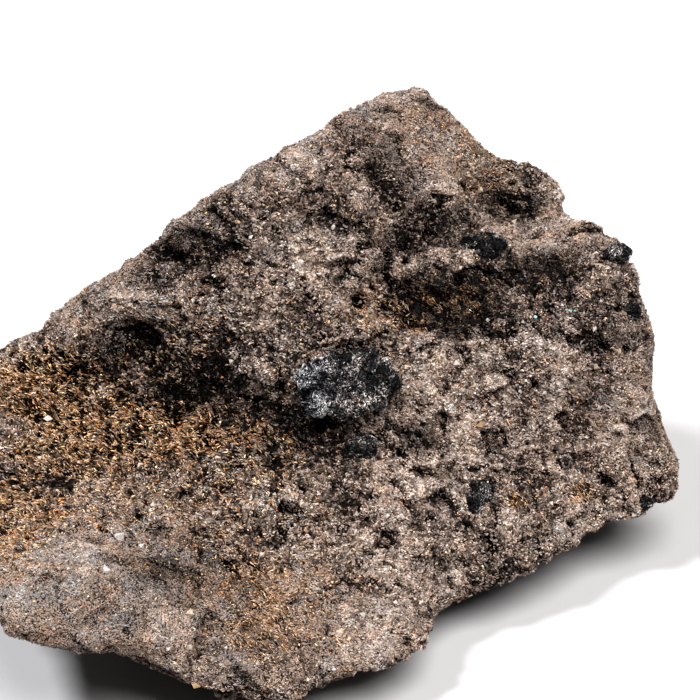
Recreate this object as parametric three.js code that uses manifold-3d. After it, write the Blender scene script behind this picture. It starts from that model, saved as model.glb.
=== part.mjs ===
// A broken block of mica schist with crystals of alexandrite standing in its broken faces.
// Millimetres, +Z up. The block lies on the flat patch of its underside, at z = 0, and its
// steep front wall faces -Y. The masses are laid out around the largest crystal's place on the
// plan (x = 0, y = 0), and the whole group is centred over its own outline at the end.

import * as THREE from 'three';
import Module from 'manifold-3d';
import { ConvexGeometry } from 'three/addons/geometries/ConvexGeometry.js';
import { mergeVertices } from 'three/addons/utils/BufferGeometryUtils.js';

const wasm = await Module();
wasm.setup();

// Driving dimensions
const GRID_STEP = 2.1; // spacing of the grid that the block's surface is drawn on
const GRID_LOW = [-46, -44, -1.5 * GRID_STEP]; // the grid's lowest corner, clear of the block
const GRID_HIGH = [44, 44, 50]; // its highest corner, clear of the block too
const SOCKET_GAP = 0.3; // clearance between a crystal and its socket in the schist
const FACE_BLEND = 0.7; // how far the edges between broken faces are blunted
const MASS_BLEND = 1.2; // how softly one mass of the block runs into the next
const COARSE_LUMPS = { size: 13, height: 0.5 }; // uneven ground over the whole block
const FINE_LUMPS = { size: 6, height: 0.3 };
const ROOT_SCALE = 0.8; // a crystal's buried end, against its width at the rock's surface
const TOP_SCALE = 0.72; // its free end, against the same width
const BEVEL_START = 0.3; // share of its rise where the bevel begins

// The block is five masses. Each one is what lies behind all of its broken faces: a face
// passes through a point and looks along a direction.
const RIDGE_MASS = [
  { through: [-10, 4, 30.5], facing: [0.06, -0.89, 0.45] }, // steep front wall
  { through: [20, -0.3, 14.4], facing: [0.3, -0.76, 0.58] }, // front wall, turned to the right
  { through: [-5.6, 15.6, 45.7], facing: [0.42, -0.5, 0.75] }, // roof falling to the front right
  { through: [16, 26.5, 37.5], facing: [0.6, -0.6, 0.5] }, // step down to the shoulder
  { through: [-25.5, 5.2, 34.6], facing: [-0.62, 0.5, 0.61] }, // back left slope, low part
  { through: [-5.9, 15.9, 46.1], facing: [-0.52, 0.35, 0.78] }, // back left slope, high part
  { through: [5, 26, 48.2], facing: [-0.05, 0.1, 1] }, // blunt peak
  { through: [14, 29.4, 41], facing: [0.3, 0.9, 0.3] }, // back, high part
  { through: [-8, 32, 18], facing: [-0.42, 0.9, 0.06] }, // back, to the left
  { through: [8, 33.5, 15], facing: [0.1, 0.98, -0.15] }, // back, low part
  { through: [-41.5, -6, 20], facing: [-0.96, 0.1, 0.2] }, // left end
  { through: [35.9, 4, 15.4], facing: [0.95, 0.2, 0.3] }, // right end
];
const SHOULDER_MASS = [
  { through: [28, 5.3, 19.4], facing: [0.24, -0.84, 0.48] }, // right front wall
  { through: [36, 3, 15.4], facing: [0.95, 0.15, 0.3] }, // right end, front part
  { through: [32, 15, 15], facing: [0.86, 0.5, 0.1] }, // right end, back part
  { through: [22.6, 19.2, 32], facing: [-0.03, -0.22, 0.97] }, // top of the shoulder
  { through: [28.7, 22.8, 32.8], facing: [0.8, 0.48, 0.3] }, // back right corner
  { through: [22, 29.8, 34.7], facing: [0.25, 0.93, 0.2] }, // back
  { through: [4, 12, 20], facing: [-0.86, 0.5, 0] }, // buried in the ridge
];
const KNOB_MASS = [
  { through: [30, 13.5, 34.6], facing: [0.15, -0.1, 1] }, // top of the right corner
  { through: [27, 14, 33], facing: [-0.75, -0.1, 0.6] }, // left
  { through: [30, 9.8, 31], facing: [0.24, -0.88, 0.35] }, // front
  { through: [31.7, 12, 31], facing: [0.97, 0.1, 0.16] }, // right
  { through: [29, 18.5, 32.6], facing: [0.3, 0.75, 0.55] }, // back
  { through: [28, 14, 22], facing: [0, 0, -1] }, // buried in the shoulder
];
const BANK_MASS = [
  { through: [-21, -0.5, 23.2], facing: [0.17, -0.42, 0.9] }, // bank between shelf and wall
  { through: [-39.6, -6, 18], facing: [-0.96, 0.1, 0.2] }, // left end
  { through: [-1, -4, 18], facing: [0.9, -0.2, 0.4] }, // right end
  { through: [-20, 4.5, 20], facing: [0, 1, 0] }, // buried in the ridge
  { through: [-20, -16, 16], facing: [0, -1, 0] }, // buried in the foot
  { through: [-20, -5, 12], facing: [0, 0, -1] }, // buried in the foot
];
const FOOT_MASS = [
  { through: [-26.6, -9.4, 19.6], facing: [-0.06, -0.05, 1] }, // level shelf
  { through: [-8.4, -18.1, 14.1], facing: [0.33, -0.42, 0.84] }, // right flank
  { through: [-19.6, -36.1, 14.3], facing: [0.45, -0.74, 0.5] }, // lower front, to the right
  { through: [-26, -38.2, 14], facing: [-0.1, -0.95, 0.22] }, // front
  { through: [-37.1, -24, 18], facing: [-0.92, -0.36, -0.1] }, // left end
  { through: [0, 8, 10], facing: [0, 1, 0] }, // buried in the ridge
];

// The underside rises away from the flat patch on every side.
const UNDERSIDE = [
  { through: [-7.4, -32.4, 4.3], facing: [-0.28, -0.52, -0.8] }, // front left
  { through: [-33.4, -20.3, 9.9], facing: [-0.5, -0.1, -0.86] }, // left
  { through: [-24, 14, 9], facing: [-0.6, 0.3, -0.74] }, // back left
  { through: [4.4, -25.2, 1.3], facing: [0.42, -0.45, -0.79] }, // front
  { through: [16.6, -9, 4.1], facing: [0.3, -0.28, -0.91] }, // front right
  { through: [34.2, 14, 6.6], facing: [0.42, 0.1, -0.9] }, // right
  { through: [2, 31, 8], facing: [-0.05, 0.5, -0.87] }, // back
];

// Hollows in the underside: around a point, and fading out to the three half sizes of an oval,
// the rock is hollowed to a depth.
const UNDERSIDE_HOLLOWS = [
  { at: [-19.5, -31, 9.5], half: [7.5, 12, 8], height: 2 }, // under the front of the foot
];

// Relief: around a point, and fading out to the three half sizes of an oval, the surface is
// raised by a height, or sunk where the height is below zero.
const RELIEF = [
  { at: [-15.6, 6.6, 36.4], half: [6.2, 4.5, 2.8], height: -3.2 }, // hollow under the brow of the ridge
  { at: [-19.5, 5, 33.8], half: [3.6, 4, 3.6], height: -1.6 }, // its lower left end
  { at: [-14, 3.6, 31.6], half: [6, 4.5, 3.4], height: 1.1 }, // bulge below the brow
  { at: [-21.6, 2.4, 26.2], half: [7, 6, 4.4], height: -5 }, // deep hollow at the foot of the wall
  { at: [-14.6, -0.6, 23], half: [5.5, 4.2, 3.4], height: -2.4 }, // valley that runs on from it
  { at: [-8.4, -2, 20.9], half: [6, 4.4, 3], height: -2.2 }, // the valley's middle
  { at: [-3, -3.9, 19], half: [4.5, 3.6, 2.6], height: -1.6 }, // the valley's lower end
  { at: [-4, 9.5, 36], half: [7, 6, 5], height: -1.4 }, // shallow hollow in the wall
  { at: [3.6, 17, 40.9], half: [4.4, 4.4, 3.6], height: -1.4 }, // dent in the roof
  { at: [6.9, 13.4, 34.6], half: [3.4, 4.4, 4], height: -2.2 }, // crease between roof and shoulder
  { at: [4.5, 7.8, 29], half: [8, 6.5, 5], height: -2 }, // wide bowl above the largest crystal
  { at: [9.6, 8.6, 27], half: [5.6, 5, 3.4], height: -4.2 }, // the bowl's deep right end
  { at: [11.6, 13, 31.4], half: [5, 4.6, 2.4], height: 2.8 }, // lip over the bowl's right end
  { at: [18.5, 12.4, 29], half: [9, 4.4, 2.4], height: -2.4 }, // groove under the shoulder's lip
  { at: [20.4, 14.4, 31.6], half: [8, 4.4, 2.2], height: 2.4 }, // the shoulder's lip
  { at: [18, 24.4, 33.4], half: [7, 5.5, 4], height: -2.4 }, // notch at the back of the shoulder
  { at: [24, 27.5, 35], half: [8, 6, 6], height: 1.8 }, // crest behind the notch
  { at: [27.4, 6.6, 25], half: [4, 4, 2.6], height: -2 }, // pit near the right end
  { at: [25.7, 0.6, 12.9], half: [4.6, 4, 3], height: -1.5 }, // dent low on the right
  { at: [-32, -14, 19.8], half: [7, 3.4, 3.4], height: -1.7 }, // curved groove across the shelf
  { at: [-24, -31, 18], half: [12, 10, 9], height: 2.4 }, // raised rim of the foot
  { at: [-8, -19, 13.8], half: [7, 3.6, 3.6], height: -1.2 }, // groove down the foot's flank
  { at: [0.5, -1, 24], half: [8, 5, 6], height: 1.3 }, // mound that carries the largest crystal
  { at: [-24, 4, 31], half: [5, 4, 3], height: 0.9 }, // knob on the left of the wall
  { at: [-36, 0, 28], half: [8, 7, 6], height: -1.2 }, // low left end of the ridge
  { at: [6, -7, 12], half: [9, 8, 7], height: 1 }, // crease between flank and right wall
  { at: [-2, 33, 22], half: [12, 7, 9], height: -2.2 }, // shell-shaped break in the back
  { at: [24, 28, 14], half: [9, 7, 7], height: -1.8 }, // break low on the back right
];

// Alexandrite crystals: where each stands, the way its blunt end looks, and the prisms that are
// grown together in it. A prism has an offset across the end, half sizes across it, a depth into
// the rock, a rise out of it, and a turn about its own axis.
const CRYSTALS = {
  alexandrite_main: {
    at: [0.2, -1.6, 24.5],
    facing: [0.1, -0.86, 0.5],
    prisms: [
      { offset: [-2.4, -0.5], half: [3.2, 3.3], depth: 5, rise: 0.8, turn: 0.25 },
      { offset: [2.1, 0.4], half: [3.7, 3.2], depth: 4.6, rise: 1, turn: -0.15 },
    ],
  },
  alexandrite_below: {
    at: [1.7, -3.7, 17.8],
    facing: [0.12, -0.73, 0.67],
    prisms: [{ offset: [0, 0], half: [1.8, 1.6], depth: 2.6, rise: 0.5, turn: 0.6 }],
  },
  alexandrite_right: {
    at: [14.1, -4.2, 11.7],
    facing: [0.29, -0.63, 0.72],
    prisms: [
      { offset: [0.5, 0.8], half: [1.9, 1.3], depth: 2.8, rise: 0.4, turn: -0.3 },
      { offset: [-0.3, -1], half: [1.4, 1.5], depth: 2.6, rise: 0.6, turn: 0.2 },
    ],
  },
  alexandrite_ledge: {
    at: [15.3, 15.7, 32.1],
    facing: [0.05, -0.42, 0.9],
    prisms: [{ offset: [0, 0], half: [2.6, 1.9], depth: 3, rise: 0.9, turn: 0.15 }],
  },
  alexandrite_corner: {
    at: [30, 11.9, 33.4],
    facing: [0.45, -0.4, 0.8],
    prisms: [{ offset: [0, 0], half: [1.5, 1.2], depth: 2.4, rise: 0.7, turn: 0.45 }],
  },
  alexandrite_side: {
    at: [31.5, 8.4, 27.9],
    facing: [0.33, -0.83, 0.45],
    prisms: [{ offset: [0, 0], half: [1, 0.9], depth: 1.8, rise: 0.3, turn: 0.1 }],
  },
  alexandrite_edge: {
    at: [33.1, 0.5, 8.2],
    facing: [0.3, -0.89, 0.34],
    prisms: [{ offset: [0, 0], half: [0.9, 0.8], depth: 1.6, rise: 0.3, turn: 0.5 }],
  },
};

// ---- fields: distance below zero is rock ------------------------------------------------

const dot = (a, b) => a[0] * b[0] + a[1] * b[1] + a[2] * b[2];
const minus = (a, b) => [a[0] - b[0], a[1] - b[1], a[2] - b[2]];

// The largest of several values, with the corner between them blunted.
function softMax(values, blend) {
  const top = Math.max(...values);
  return top + blend * Math.log(values.reduce((sum, v) => sum + Math.exp((v - top) / blend), 0));
}

const softMin = (values, blend) => -softMax(values.map((v) => -v), blend);

function aboveFace(point, { through, facing }) {
  return dot(minus(point, through), facing) / Math.hypot(...facing);
}

function outsideMass(point, faces) {
  return softMax(faces.map((face) => aboveFace(point, face)), FACE_BLEND);
}

// How far a patch of relief, or a hollow, moves the surface at a point.
function raisedBy(point, { at, half, height }) {
  const reach = minus(point, at).map((d, axis) => d / half[axis]);
  return height * Math.max(0, 1 - dot(reach, reach)) ** 2;
}

// A repeatable number from 0 to 1 for each corner of a lattice.
function cornerValue(x, y, z) {
  let h = Math.imul(x, 374761393) ^ Math.imul(y, 668265263) ^ Math.imul(z, 2147483647);
  h = Math.imul(h ^ (h >>> 13), 1274126177);
  return ((h ^ (h >>> 16)) >>> 0) / 4294967295;
}

// Smooth lumps from -1 to 1, one lump to each lattice cell.
function lumps(point, size) {
  const cell = point.map((c) => Math.floor(c / size));
  const [fx, fy, fz] = point.map((c, axis) => {
    const t = c / size - cell[axis];
    return t * t * (3 - 2 * t);
  });
  let sum = 0;
  for (const dx of [0, 1]) {
    for (const dy of [0, 1]) {
      for (const dz of [0, 1]) {
        const share = (dx ? fx : 1 - fx) * (dy ? fy : 1 - fy) * (dz ? fz : 1 - fz);
        sum += share * cornerValue(cell[0] + dx, cell[1] + dy, cell[2] + dz);
      }
    }
  }
  return 2 * sum - 1;
}

function outsideBlock(point) {
  const masses = [RIDGE_MASS, SHOULDER_MASS, KNOB_MASS, BANK_MASS, FOOT_MASS].map((faces) => outsideMass(point, faces));
  const raised = RELIEF.reduce((sum, patch) => sum + raisedBy(point, patch), 0);
  const uneven = [COARSE_LUMPS, FINE_LUMPS].reduce(
    (sum, { size, height }) => sum + height * lumps(point, size),
    0,
  );
  const above = softMin(masses, MASS_BLEND) - raised - uneven;
  const hollowed = UNDERSIDE_HOLLOWS.reduce((sum, patch) => sum + raisedBy(point, patch), 0);
  const under = UNDERSIDE.map((face) => aboveFace(point, face) + hollowed);
  return Math.max(softMax([above, ...under], FACE_BLEND), -point[2]);
}

// ---- surfaces ---------------------------------------------------------------------------

const UNIT_STEPS = [[1, 0, 0], [0, 1, 0], [0, 0, 1]];
const PINCH_FILL = 0.2; // how deep a filled grid point lies in the rock

// Draws the surface where a field is zero: one vertex in each grid cell that the surface
// crosses, and one quad, as two triangles, across each grid edge that it crosses.
function surfaceOf(field, low, high, step) {
  const count = low.map((l, axis) => Math.ceil((high[axis] - l) / step) + 1);
  const key = (i, j, k) => (i * count[1] + j) * count[2] + k;
  const place = (i, j, k) => [low[0] + i * step, low[1] + j * step, low[2] + k * step];
  const values = new Float64Array(count[0] * count[1] * count[2]);
  const cells = [];
  for (let i = 0; i < count[0]; i++) {
    for (let j = 0; j < count[1]; j++) {
      for (let k = 0; k < count[2]; k++) {
        values[key(i, j, k)] = field(place(i, j, k));
        if (i && j && k) cells.push([i - 1, j - 1, k - 1]);
      }
    }
  }
  fillPinches(values, key, count);
  const vertexOf = new Map();
  const positions = [];
  for (const [i, j, k] of cells) {
    const crossing = meanCrossing(values, key, place, i, j, k);
    if (!crossing) continue;
    vertexOf.set(key(i, j, k), positions.length / 3);
    positions.push(...crossing);
  }
  const indices = [];
  for (const [i, j, k] of cells) {
    for (let axis = 0; axis < 3; axis++) {
      const along = UNIT_STEPS[axis];
      const [b, c] = [UNIT_STEPS[(axis + 1) % 3], UNIT_STEPS[(axis + 2) % 3]];
      const inside = values[key(i, j, k)] < 0;
      if (inside === values[key(i + along[0], j + along[1], k + along[2])] < 0) continue;
      const ring = [[0, 0], [1, 0], [1, 1], [0, 1]].map(([s, t]) =>
        vertexOf.get(key(i - s * b[0] - t * c[0], j - s * b[1] - t * c[1], k - s * b[2] - t * c[2])),
      );
      if (!inside) ring.reverse();
      indices.push(ring[0], ring[1], ring[2], ring[0], ring[2], ring[3]);
    }
  }
  const geometry = new THREE.BufferGeometry();
  geometry.setAttribute('position', new THREE.Float32BufferAttribute(positions, 3));
  geometry.setIndex(indices);
  return geometry;
}

// Where the rock of two grid points meets only across the diagonal of a square of the grid, the
// surface would touch itself along an edge, so one of the square's other two points is filled.
function fillPinches(values, key, count) {
  let found = true;
  while (found) {
    found = false;
    for (let i = 1; i < count[0] - 1; i++) {
      for (let j = 1; j < count[1] - 1; j++) {
        for (let k = 1; k < count[2] - 1; k++) {
          for (let axis = 0; axis < 3; axis++) {
            const [b, c] = [UNIT_STEPS[(axis + 1) % 3], UNIT_STEPS[(axis + 2) % 3]];
            const [here, beyond, aside, across] = [
              key(i, j, k),
              key(i + b[0] + c[0], j + b[1] + c[1], k + b[2] + c[2]),
              key(i + b[0], j + b[1], k + b[2]),
              key(i + c[0], j + c[1], k + c[2]),
            ];
            const rock = [here, beyond, aside, across].map((n) => values[n] < 0);
            if (rock[0] !== rock[1] || rock[2] !== rock[3] || rock[0] === rock[2]) continue;
            const [first, second] = rock[0] ? [aside, across] : [here, beyond];
            values[values[first] < values[second] ? first : second] = -PINCH_FILL;
            found = true;
          }
        }
      }
    }
  }
}

// The mean of the points where a surface crosses the twelve edges of one grid cell.
function meanCrossing(values, key, place, i, j, k) {
  const corners = [];
  for (const di of [0, 1]) for (const dj of [0, 1]) for (const dk of [0, 1]) corners.push([di, dj, dk]);
  const sum = [0, 0, 0];
  let found = 0;
  for (const a of corners) {
    for (let axis = 0; axis < 3; axis++) {
      if (a[axis]) continue;
      const b = a.map((c, n) => (n === axis ? 1 : c));
      const [va, vb] = [a, b].map((c) => values[key(i + c[0], j + c[1], k + c[2])]);
      if (va < 0 === vb < 0) continue;
      const share = va / (va - vb);
      const [pa, pb] = [a, b].map((c) => place(i + c[0], j + c[1], k + c[2]));
      pa.forEach((c, n) => (sum[n] += c + share * (pb[n] - c)));
      found++;
    }
  }
  return found ? sum.map((s) => s / found) : null;
}

function solidFrom(geometry) {
  const bare = geometry.clone();
  for (const name of Object.keys(bare.attributes)) if (name !== 'position') bare.deleteAttribute(name);
  const merged = mergeVertices(bare, 1e-3);
  return new wasm.Manifold(
    new wasm.Mesh({
      numProp: 3,
      vertProperties: new Float32Array(merged.attributes.position.array),
      triVerts: new Uint32Array(merged.index.array),
    }),
  );
}

function geometryFrom(solid) {
  const mesh = solid.getMesh();
  const geometry = new THREE.BufferGeometry();
  geometry.setAttribute('position', new THREE.Float32BufferAttribute(mesh.vertProperties, 3));
  geometry.setIndex(new THREE.Uint32BufferAttribute(mesh.triVerts, 1));
  const flat = geometry.toNonIndexed();
  flat.computeVertexNormals();
  return flat;
}

// ---- crystals ---------------------------------------------------------------------------

// A six-sided prism with a bevelled end and a narrower root, grown larger all round by `spare`.
function prismGeometry({ offset, half, depth, rise, turn }, spare) {
  const [w, h] = half.map((size) => size + spare);
  const rings = [
    { z: -depth - spare, scale: ROOT_SCALE },
    { z: rise * BEVEL_START + spare, scale: 1 },
    { z: rise + spare, scale: TOP_SCALE },
  ];
  const points = [];
  for (const { z, scale } of rings) {
    for (let side = 0; side < 6; side++) {
      const angle = turn + (side * Math.PI) / 3;
      const [x, y] = [Math.cos(angle) * w * scale, Math.sin(angle) * h * scale];
      points.push(new THREE.Vector3(offset[0] + x, offset[1] + y, z));
    }
  }
  return new ConvexGeometry(points);
}

function crystalSolid({ at, facing, prisms }, spare) {
  const turn = new THREE.Quaternion().setFromUnitVectors(
    new THREE.Vector3(0, 0, 1),
    new THREE.Vector3(...facing).normalize(),
  );
  const stand = new THREE.Matrix4().compose(new THREE.Vector3(...at), turn, new THREE.Vector3(1, 1, 1));
  return prisms
    .map((prism) => solidFrom(prismGeometry(prism, spare).applyMatrix4(stand)))
    .reduce((whole, next) => whole.add(next));
}

// ---- the part ---------------------------------------------------------------------------

const SCHIST = new THREE.MeshStandardMaterial({ color: 0x6b6058, roughness: 0.85, metalness: 0.05 });
const ALEXANDRITE = new THREE.MeshStandardMaterial({ color: 0x24333a, roughness: 0.25, metalness: 0 });

function namedMesh(name, solid, material) {
  const mesh = new THREE.Mesh(geometryFrom(solid), material);
  mesh.name = name;
  return mesh;
}

function buildPart() {
  const part = new THREE.Group();
  let schist = solidFrom(surfaceOf(outsideBlock, GRID_LOW, GRID_HIGH, GRID_STEP));
  for (const [name, crystal] of Object.entries(CRYSTALS)) {
    schist = schist.subtract(crystalSolid(crystal, SOCKET_GAP));
    part.add(namedMesh(name, crystalSolid(crystal, 0), ALEXANDRITE));
  }
  part.add(namedMesh('schist_matrix', schist, SCHIST));
  const box = new THREE.Box3().setFromObject(part);
  const middle = box.getCenter(new THREE.Vector3());
  part.position.set(-middle.x, -middle.y, -box.min.z);
  return part;
}

export default buildPart();
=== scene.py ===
"""A broken block of mica schist with dark alexandrite crystals in its broken faces.

The block lies on a pale floor under plain soft light. Lengths in this file are millimetres
unless a name says otherwise. Places are measured from the CAD frame's own boxes.
"""

import math
from itertools import product

import bpy
import numpy as np
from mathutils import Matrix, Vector


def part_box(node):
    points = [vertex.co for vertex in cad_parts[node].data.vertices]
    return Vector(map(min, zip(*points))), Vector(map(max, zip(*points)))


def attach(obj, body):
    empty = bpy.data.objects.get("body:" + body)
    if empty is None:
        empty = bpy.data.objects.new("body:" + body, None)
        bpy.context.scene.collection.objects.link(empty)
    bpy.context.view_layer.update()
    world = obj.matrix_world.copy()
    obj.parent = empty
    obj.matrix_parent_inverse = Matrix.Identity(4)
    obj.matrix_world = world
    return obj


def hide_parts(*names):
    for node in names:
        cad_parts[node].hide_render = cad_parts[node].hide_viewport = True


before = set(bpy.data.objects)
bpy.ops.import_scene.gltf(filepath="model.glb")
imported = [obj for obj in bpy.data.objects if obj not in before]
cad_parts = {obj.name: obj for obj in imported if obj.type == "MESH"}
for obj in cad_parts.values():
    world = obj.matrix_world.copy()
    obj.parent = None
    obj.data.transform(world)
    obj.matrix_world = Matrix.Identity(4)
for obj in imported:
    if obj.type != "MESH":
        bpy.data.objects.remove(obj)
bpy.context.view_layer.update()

MM = 0.001
SEED = 41  # each noise and each random draw counts its seed from this one

BLOCK = "schist_matrix"
MAIN = "alexandrite_main"
CRYSTALS = [name for name in sorted(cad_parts) if name.startswith("alexandrite")]


def box_mm(node):
    """Lowest and highest corners of a CAD node, in millimetres."""
    low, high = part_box(node)
    return np.array(low) / MM, np.array(high) / MM


MAIN_LOW, MAIN_HIGH = box_mm(MAIN)
HEART = (MAIN_LOW + MAIN_HIGH) / 2  # middle of the largest crystal: places are counted from it


def dots(first, second):
    """The dot product of each pair of rows."""
    return np.einsum("ij,ij->i", first, second)


def lengths(vectors):
    """How long each row is."""
    return np.linalg.norm(vectors, axis=1)


def unit(vectors):
    """The same directions, each one long."""
    return vectors / np.maximum(np.linalg.norm(vectors, axis=1, keepdims=True), 1e-9)


def smooth_step(low, high, values):
    """0 at `low`, 1 at `high`, and an even curve between them."""
    t = np.clip((values - low) / (high - low), 0, 1)
    return t * t * (3 - 2 * t)


# ---- noise ----

WORD = 2**32  # hashes are numbers of 32 bits
CELL_PRIMES = (73856093, 19349663, 83492791)
SEED_PRIME = 2654435761
COLUMN_STEP = 0x9E3779B9
SCRAMBLES = ((16, 0x7FEB352D), (15, 0x846CA68B))  # bits to shift by, then factor
LAST_SHIFT = 16


def hashed(cells, seed, columns):
    """Repeatable numbers from 0 to 1, `columns` of them for each lattice cell."""
    mask = np.uint64(WORD - 1)
    c = cells.astype(np.int64).astype(np.uint64)
    mixed = np.uint64(seed * SEED_PRIME % WORD)
    for axis, prime in enumerate(CELL_PRIMES):
        mixed = mixed ^ (c[:, axis] * np.uint64(prime))
    out = np.empty((len(cells), columns))
    for column in range(columns):
        h = (mixed + np.uint64(COLUMN_STEP * (column + 1) % WORD)) & mask
        for shift, factor in SCRAMBLES:
            h ^= h >> np.uint64(shift)
            h = (h * np.uint64(factor)) & mask
        h ^= h >> np.uint64(LAST_SHIFT)
        out[:, column] = h / WORD
    return out


CELL_CORNERS = np.array(list(product((0, 1), repeat=3)))
NEIGHBOURS = np.array(list(product((-1, 0, 1), repeat=3)))
SWELL_GAIN = 1.6  # brings gradient noise to about -1 to 1


def swell(points, size, seed):
    """Smooth gradient noise, about -1 to 1, with bumps about `size` apart."""
    scaled = points / size
    cell = np.floor(scaled)
    t = scaled - cell
    fade = t * t * t * (t * (t * 6 - 15) + 10)
    total = np.zeros(len(points))
    for corner in CELL_CORNERS:
        slope = hashed(cell + corner, seed, 3) * 2 - 1
        share = np.prod(np.where(corner == 1, fade, 1 - fade), axis=1)
        total += share * dots(slope, t - corner)
    return total * SWELL_GAIN


def swells(points, noises):
    """Gradient noises added together. Each has a size, a height and a seed."""
    return sum(height * swell(points, size, SEED + seed) for size, height, seed in noises)


def swirl(points, size, seed):
    """Three gradient noises side by side, to bend places or directions with."""
    return np.column_stack([swell(points, size, seed + axis) for axis in range(3)])


def layered(points, size, seed, layers, gain=0.5):
    """Several layers of gradient noise, each finer and weaker than the last."""
    total = np.zeros(len(points))
    weight = 1.0
    for layer in range(layers):
        total += weight * swell(points, size / 2**layer, seed + layer)
        weight *= gain
    return total


def nearest_cells(points, size, seed):
    """For each point: distance to the nearest and next nearest of scattered seeds, the way from
    the nearest one, and three repeatable numbers that belong to it."""
    scaled = points / size
    cell = np.floor(scaled)
    first = np.full(len(points), 9.0)
    second = np.full(len(points), 9.0)
    way = np.zeros((len(points), 3))
    marks = np.zeros((len(points), 3))
    for neighbour in NEIGHBOURS:
        here = cell + neighbour
        numbers = hashed(here, seed, 6)
        away = scaled - (here + numbers[:, :3])
        distance = np.sqrt(dots(away, away))
        closer = distance < first
        second = np.where(closer, first, np.minimum(second, distance))
        first = np.where(closer, distance, first)
        way[closer] = away[closer]
        marks[closer] = numbers[closer, 3:]
    return first * size, second * size, way * size, marks


def facets(points, size, seed):
    """Heights of flat facets that tilt every way, one for each cell about `size` across."""
    _, _, way, marks = nearest_cells(points, size, seed)
    return dots(way, marks * 2 - 1)


# ---- meshes ----


def add_object(name, data):
    """A new object, put into the scene."""
    thing = bpy.data.objects.new(name, data)
    bpy.context.scene.collection.objects.link(thing)
    return thing


def remeshed(node, voxel):
    """Points in millimetres and quads of a CAD node, drawn again with even small faces."""
    work = add_object("remesh_work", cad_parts[node].data.copy())
    modifier = work.modifiers.new("voxels", "REMESH")
    modifier.mode = "VOXEL"
    modifier.voxel_size = voxel * MM
    shown = work.evaluated_get(bpy.context.evaluated_depsgraph_get())
    mesh = shown.to_mesh()
    points = np.empty(len(mesh.vertices) * 3)
    mesh.vertices.foreach_get("co", points)
    loops = np.empty(len(mesh.loops), np.int32)
    mesh.loops.foreach_get("vertex_index", loops)
    shown.to_mesh_clear()
    bpy.data.meshes.remove(work.data)  # the work object goes with its mesh
    return points.reshape(-1, 3) / MM, loops.reshape(-1, 4)


def smoothed(points, quads, rounds):
    """Each point drawn half way to the mean of its neighbours, several times over."""
    a = quads.reshape(-1)
    b = np.roll(quads, -1, axis=1).reshape(-1)
    count = np.bincount(a, minlength=len(points)) + np.bincount(b, minlength=len(points))
    for _ in range(rounds):
        mean = np.empty_like(points)
        for axis in range(points.shape[1]):
            total = np.bincount(a, points[b, axis], len(points))
            total += np.bincount(b, points[a, axis], len(points))
            mean[:, axis] = total / count
        points = points + 0.5 * (mean - points)
    return points


def face_vectors(points, quads):
    """The way that each quad looks, as long as its area."""
    across = points[quads[:, 2]] - points[quads[:, 0]]
    other = points[quads[:, 3]] - points[quads[:, 1]]
    return np.cross(across, other) / 2


def point_normals(points, quads):
    """The way that the surface looks at each point."""
    normals = np.zeros_like(points)
    face = face_vectors(points, quads)
    for corner in range(4):
        for axis in range(3):
            normals[:, axis] += np.bincount(quads[:, corner], face[:, axis], len(points))
    return unit(normals)


def mesh_object(name, points, faces, corners, material):
    """An object of same-sized faces that rides on the block."""
    mesh = bpy.data.meshes.new(name)
    mesh.vertices.add(len(points))
    mesh.vertices.foreach_set("co", (points * MM).reshape(-1))
    mesh.loops.add(len(faces) * corners)
    mesh.loops.foreach_set("vertex_index", faces.astype(np.int32).reshape(-1))
    mesh.polygons.add(len(faces))
    mesh.polygons.foreach_set("loop_start", np.arange(len(faces), dtype=np.int32) * corners)
    mesh.update(calc_edges=True)
    mesh.shade_flat()
    mesh.materials.append(material)
    piece = add_object(name, mesh)
    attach(piece, "root")
    return piece


def add_colours(mesh, name, values, domain):
    """Stores one colour, or one number as a grey, for each point or face of a mesh."""
    if values.ndim == 1:
        values = np.repeat(values[:, None], 3, axis=1)
    attribute = mesh.attributes.new(name, "FLOAT_COLOR", domain)
    rgba = np.ones((len(values), 4))
    rgba[:, :3] = values
    attribute.data.foreach_set("color", rgba.reshape(-1))


BAKE_MAP = "OFBake"
TILE_EDGE = 0.02  # bare rim of each tile in a box map
TILE_COLUMNS, TILE_ROWS = 3, 2


def add_box_map(mesh, points, quads, even_normals):
    """A bake map: faces are laid out in six tiles by the way the ground under them looks."""
    facing = even_normals[quads].mean(axis=1)
    axis = np.argmax(np.abs(facing), axis=1)
    tile = axis * 2 + (facing[np.arange(len(quads)), axis] > 0)
    low, high = points.min(axis=0), points.max(axis=0)
    place = (points - low) / (high - low).max()
    corner = place[quads]
    flat = np.empty((len(quads), 4, 2))
    for number, (u, v) in enumerate(((1, 2), (0, 2), (0, 1))):
        here = axis == number
        flat[here] = corner[here][:, :, [u, v]]
    column, row = tile % TILE_COLUMNS, tile // TILE_COLUMNS
    flat = TILE_EDGE + (1 - 2 * TILE_EDGE) * flat
    flat[:, :, 0] = (flat[:, :, 0] + column[:, None]) / TILE_COLUMNS
    flat[:, :, 1] = (flat[:, :, 1] + row[:, None]) / TILE_ROWS
    bake = mesh.uv_layers.new(name=BAKE_MAP)
    bake.data.foreach_set("uv", flat.reshape(-1))
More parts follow.
